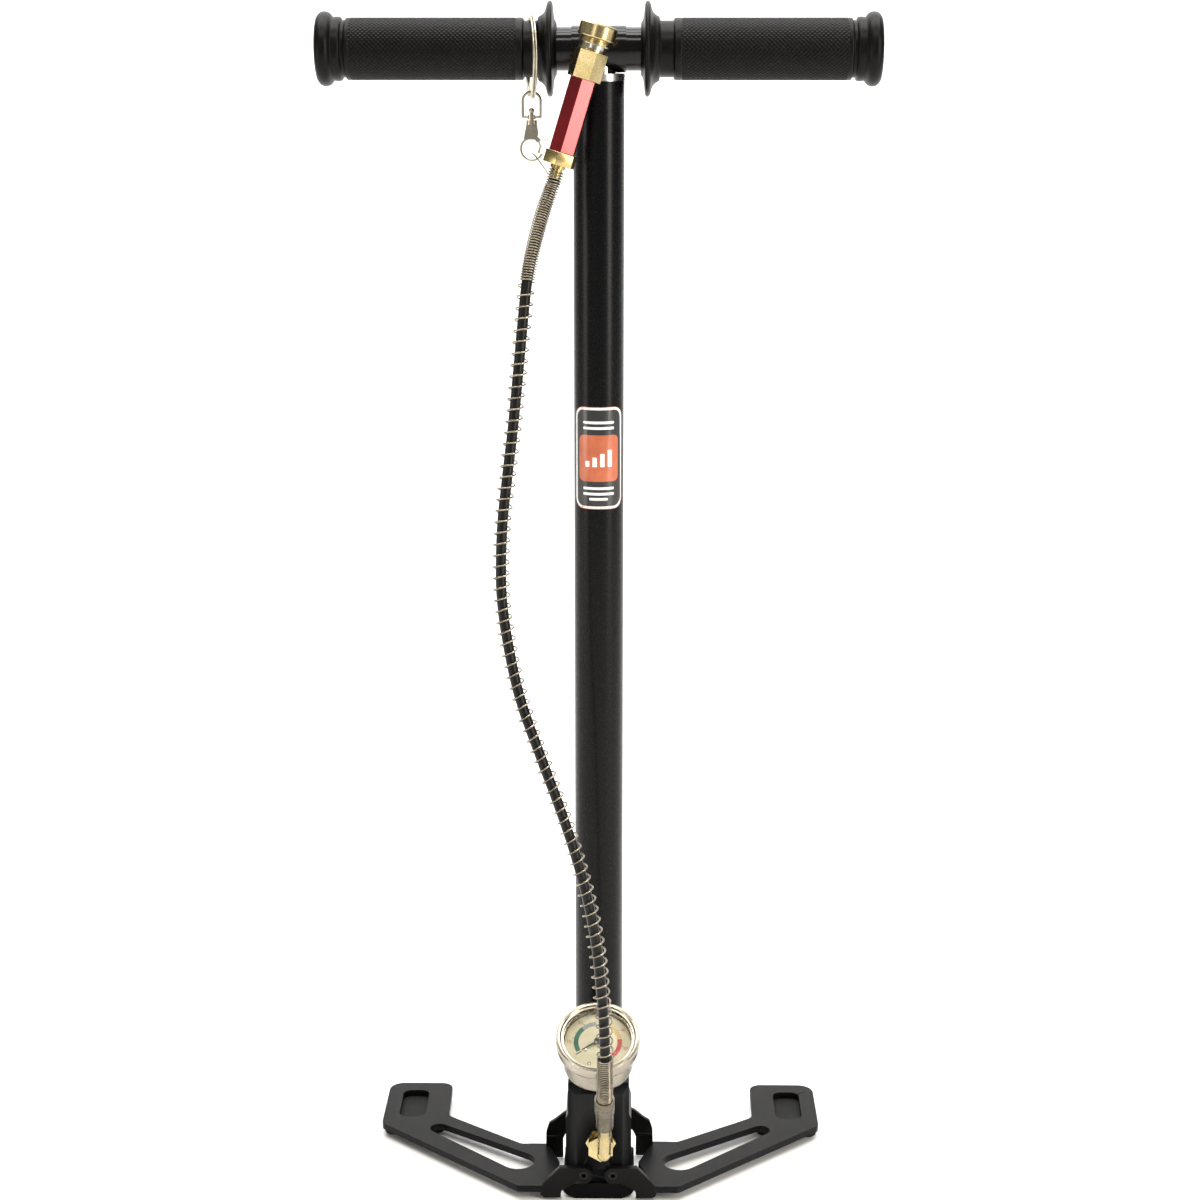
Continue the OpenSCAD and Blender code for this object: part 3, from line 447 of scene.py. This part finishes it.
# ---------------------------------------------------------------- split ring
def split_ring():
    """Two flat turns of wire, side by side, with a step where one passes into the other."""
    centre = Vector((-34.7 * MM, 0, 634.65 * MM))
    tilt = Matrix.Rotation(math.radians(8), 3, "Z")
    turns, per_turn = 1.97, 120
    half_w, half_h = 1.35 * MM, 0.56 * MM
    n = int(turns * per_turn)
    vertices = []
    section = [(math.cos(a) * half_w * 1.08, math.sin(a) * half_h * 1.12)
               for a in np.linspace(0, TAU, 12, endpoint=False)]
    section = [(max(-half_w, min(half_w, p)), max(-half_h, min(half_h, q))) for p, q in section]
    for i in range(n + 1):
        a = math.radians(-70) + TAU * turns * i / n
        q = turns * i / n
        lift = 0.66 * math.tanh((q - turns / 2) * 9) * MM
        for p, w in section:
            r = 19.97 * MM + p
            vertices.append(centre + tilt @ Vector((lift + w, r * math.cos(a), r * math.sin(a))))
    faces = grid_faces(n + 1, len(section))
    faces.append(tuple(range(len(section) - 1, -1, -1)))
    faces.append(tuple(n * len(section) + k for k in range(len(section))))
    return piece("split_ring_coil", vertices, faces, "ring", "nickel", replaces=["split_ring"])


split_ring()


# ---------------------------------------------------------------- dial
DIAL_TOP = -6.2      # millimetres, along the gauge's axis
PRINT_HEIGHT = 0.05
BAND = (10.8, 13.4)  # inner and outer radius of the coloured arcs
ZERO = 214           # degrees


def on_dial(name, flat, finish):
    """A printed shape on the dial: outlines given as lists of 2-D points in millimetres."""
    vertices, faces = [], []
    low, high = DIAL_TOP + 0.01, DIAL_TOP + 0.01 + PRINT_HEIGHT
    for outline in flat:
        first = len(vertices)
        n = len(outline)
        vertices += [GAUGE @ Vector((x * MM, y * MM, low * MM)) for x, y in outline]
        vertices += [GAUGE @ Vector((x * MM, y * MM, high * MM)) for x, y in outline]
        faces.append(tuple(first + n + k for k in range(n)))
        faces.append(tuple(first + n - 1 - k for k in range(n)))
        faces += [(first + k, first + (k + 1) % n, first + n + (k + 1) % n, first + n + k) for k in range(n)]
    return piece(name, vertices, faces, "base", finish, smooth=False)


def arc_band(r0, r1, start, stop):
    """The outline of a band between two radii and two angles."""
    a = np.radians(np.linspace(start, stop, 25))
    return ([(r1 * math.cos(t), r1 * math.sin(t)) for t in a]
            + [(r0 * math.cos(t), r0 * math.sin(t)) for t in a[::-1]])


def tick(r0, r1, angle, half):
    """The outline of a straight mark that points at the centre."""
    a = math.radians(angle)
    c, s = math.cos(a), math.sin(a)
    return [(r0 * c + half * s, r0 * s - half * c), (r1 * c + half * s, r1 * s - half * c),
            (r1 * c - half * s, r1 * s + half * c), (r0 * c - half * s, r0 * s + half * c)]


for ink, start, stop in (("green", 209, 134), ("grey", 134, 95), ("yellow", 88, 12), ("red", 10, -56)):
    on_dial(f"arc_{ink}", [arc_band(*BAND, start, stop)[::-1]], f"ink_{ink}")
on_dial("dial_ticks", [tick(13.5, 14.6 if k % 3 == 0 else 14.1, ZERO - 15 * k, 0.14 if k % 3 == 0 else 0.09)
                       for k in range(19)], "ink_black")
on_dial("zero_mark", [tick(10.8, 14.6, ZERO, 0.32)], "ink_black")


def ring_outline(r0, r1, x, y):
    """An almost closed ring round a place on the dial."""
    way, back = np.linspace(0, TAU * 0.98, 28), np.linspace(TAU * 0.98, 0, 28)
    return ([(x + r1 * math.cos(a), y + r1 * math.sin(a)) for a in way]
            + [(x + r0 * math.cos(a), y + r0 * math.sin(a)) for a in back])


on_dial("ring_mark", [ring_outline(0.75, 1.1, 14.8 * math.cos(math.radians(252)),
                                   14.8 * math.sin(math.radians(252)))], "ink_black")


def numerals():
    """The dial's scale numbers, as solid figures."""
    for k, (text, angle) in enumerate((("10", 179), ("20", 128), ("30", 79), ("40", 30), ("50", -15))):
        curve = bpy.data.curves.new(f"figure_{k}", "FONT")
        curve.body = text
        curve.size = 2.7 * MM
        curve.align_x = "CENTER"
        curve.align_y = "CENTER"
        curve.extrude = 0.025 * MM
        flat = bpy.data.objects.new(f"figure_{k}", curve)
        scene.collection.objects.link(flat)
        bpy.context.view_layer.update()
        mesh = bpy.data.meshes.new_from_object(flat.evaluated_get(bpy.context.evaluated_depsgraph_get()))
        bpy.data.objects.remove(flat)
        r = 16.0 * MM
        a = math.radians(angle)
        mesh.transform(GAUGE @ Matrix.Translation((r * math.cos(a), r * math.sin(a), -6.16 * MM)))
        mesh.materials.clear()
        mesh.materials.append(MATS["ink_red"])
        obj = bpy.data.objects.new(f"dial_figure_{k}", mesh)
        scene.collection.objects.link(obj)
        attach(obj, "base")


numerals()


# ---------------------------------------------------------------- label on the tube
LABEL_Z = 428.0      # millimetres, the middle of the label
LABEL_FOOT = 13.4    # millimetres, the radius at which the printed shapes start


def curved_patch(name, outline, r0, r1, finish):
    """A thin raised shape on the tube, from an outline of points (x across, z up) in millimetres."""
    bm = bmesh.new()
    loop = [bm.verts.new((x, 0, z)) for x, z in outline]
    bm.faces.new(loop)
    bmesh.ops.triangulate(bm, faces=bm.faces)
    for _ in range(3):
        long_edges = [e for e in bm.edges if abs(e.verts[0].co.x - e.verts[1].co.x) > 1.2]
        if long_edges:
            bmesh.ops.subdivide_edges(bm, edges=long_edges, cuts=3, use_grid_fill=False)
            bmesh.ops.triangulate(bm, faces=bm.faces)
    bm.normal_update()
    outer = bmesh.ops.extrude_face_region(bm, geom=list(bm.faces))
    raised = {g for g in outer["geom"] if isinstance(g, bmesh.types.BMVert)}
    for vert in bm.verts:
        x, z = vert.co.x, vert.co.z
        r = r1 if vert in raised else r0
        a = x / r0
        vert.co = (r * math.sin(a) * MM, -r * math.cos(a) * MM, (LABEL_Z + z) * MM)
    bmesh.ops.recalc_face_normals(bm, faces=bm.faces)
    mesh = bpy.data.meshes.new(name)
    bm.to_mesh(mesh)
    bm.free()
    obj = bpy.data.objects.new(name, mesh)
    scene.collection.objects.link(obj)
    mesh.materials.append(MATS[finish])
    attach(obj, "base")
    return obj


def rounded_box(half_w, half_h, r, cx=0.0, cz=0.0, steps=8):
    """A rectangle's outline with round corners."""
    points = []
    for corner, (sx, sz) in enumerate(((1, 1), (-1, 1), (-1, -1), (1, -1))):
        for i in range(steps + 1):
            a = math.radians(90 * corner + 90 * i / steps)
            points.append((cx + sx * (half_w - r) + r * math.cos(a),
                           cz + sz * (half_h - r) + r * math.sin(a)))
    return points


curved_patch("label_border", rounded_box(14.2, 27.2, 5.5), 13.36, 13.66, "label_white")
curved_patch("label_field_patch", rounded_box(12.9, 25.9, 4.4), LABEL_FOOT, 13.69, "label_black")
curved_patch("label_orange_patch", rounded_box(11.2, 12.5, 3), LABEL_FOOT, 13.72, "label_field")
for k, (z, half) in enumerate(((19.2, 8.5), (16.2, 8.5), (-16.2, 8.5), (-19.2, 8.5), (-22.0, 5.0))):
    curved_patch(f"label_bar_{k}", rounded_box(half, 0.7, 0.6, 0, z, 4), LABEL_FOOT, 13.73, "label_white")
for k, (x, h) in enumerate(((-6, 3.2), (-2, 5.2), (2, 7.2), (6, 9.2))):
    curved_patch(f"label_step_{k}", rounded_box(1.2, h / 2, 0.5, x, -4.6 + h / 2, 4), LABEL_FOOT, 13.75,
                 "label_white")


# ---------------------------------------------------------------- floor and light
def floor():
    """A pale floor that curves up behind into a backdrop."""
    start, bend = 1.0, 1.6
    rows = [(-3.5, 0.0), (start, 0.0)]
    rows += [(start + bend * math.sin(math.radians(a)), bend - bend * math.cos(math.radians(a)))
             for a in range(2, 91, 2)]
    rows += [(2.6, 4.5)]
    vertices = [(x, y, z) for y, z in rows for x in (-6.0, 6.0)]
    faces = [(2 * i, 2 * i + 1, 2 * i + 3, 2 * i + 2) for i in range(len(rows) - 1)]
    mesh = bpy.data.meshes.new("floor")
    mesh.from_pydata(vertices, [], faces)
    mesh.polygons.foreach_set("use_smooth", [True] * len(mesh.polygons))
    obj = bpy.data.objects.new("floor", mesh)
    scene.collection.objects.link(obj)
    mesh.materials.append(surface("floor_white", (0.86, 0.86, 0.86), (0.88, 0.88, 0.88), (0.6, 0.7),
                                  scale=2, grain=40, level=0.2))


floor()


def softbox(name, place, target, width, height, power, colour=(1, 1, 1)):
    """A soft rectangular lamp that faces a point."""
    data = bpy.data.lights.new(name, "AREA")
    data.shape = "RECTANGLE"
    data.size = width
    data.size_y = height
    data.energy = power
    data.color = colour
    obj = bpy.data.objects.new(name, data)
    scene.collection.objects.link(obj)
    obj.location = place
    obj.rotation_euler = (Vector(target) - Vector(place)).to_track_quat("-Z", "Y").to_euler()


WARM = (1, 0.95, 0.86)
softbox("overhead", (0, 1.2, 3.0), (0, 0.4, 0), 4.0, 3.0, 92)
softbox("top_strip", (0, -0.14, 2.2), (0, 0, 0.6), 2.4, 0.22, 24, WARM)
softbox("fore_strip", (0, -1.17, 2.2), (0, 0, 0.6), 2.4, 0.28, 22, WARM)
softbox("left_strip", (-1.87, -0.91, 0.46), (0, 0, 0.46), 0.7, 0.84, 8, WARM)
softbox("right_strip", (1.545, -1.27, 0.9), (0, 0, 0.4), 0.5, 1.7, 27, WARM)
softbox("brass_fill", (-0.74, -2.2, 1.02), (0, 0, 0.63), 0.6, 0.45, 3, WARM)
softbox("backdrop_wash", (0, 0.7, 3.0), (0, 2.5, 0.5), 4.5, 1.0, 75)

world = bpy.data.worlds.new("world")
scene.world = world
world.use_nodes = True
world.node_tree.nodes["Background"].inputs["Color"].default_value = (1, 1, 1, 1)
world.node_tree.nodes["Background"].inputs["Strength"].default_value = 0.2
scene.view_settings.view_transform = "Standard"
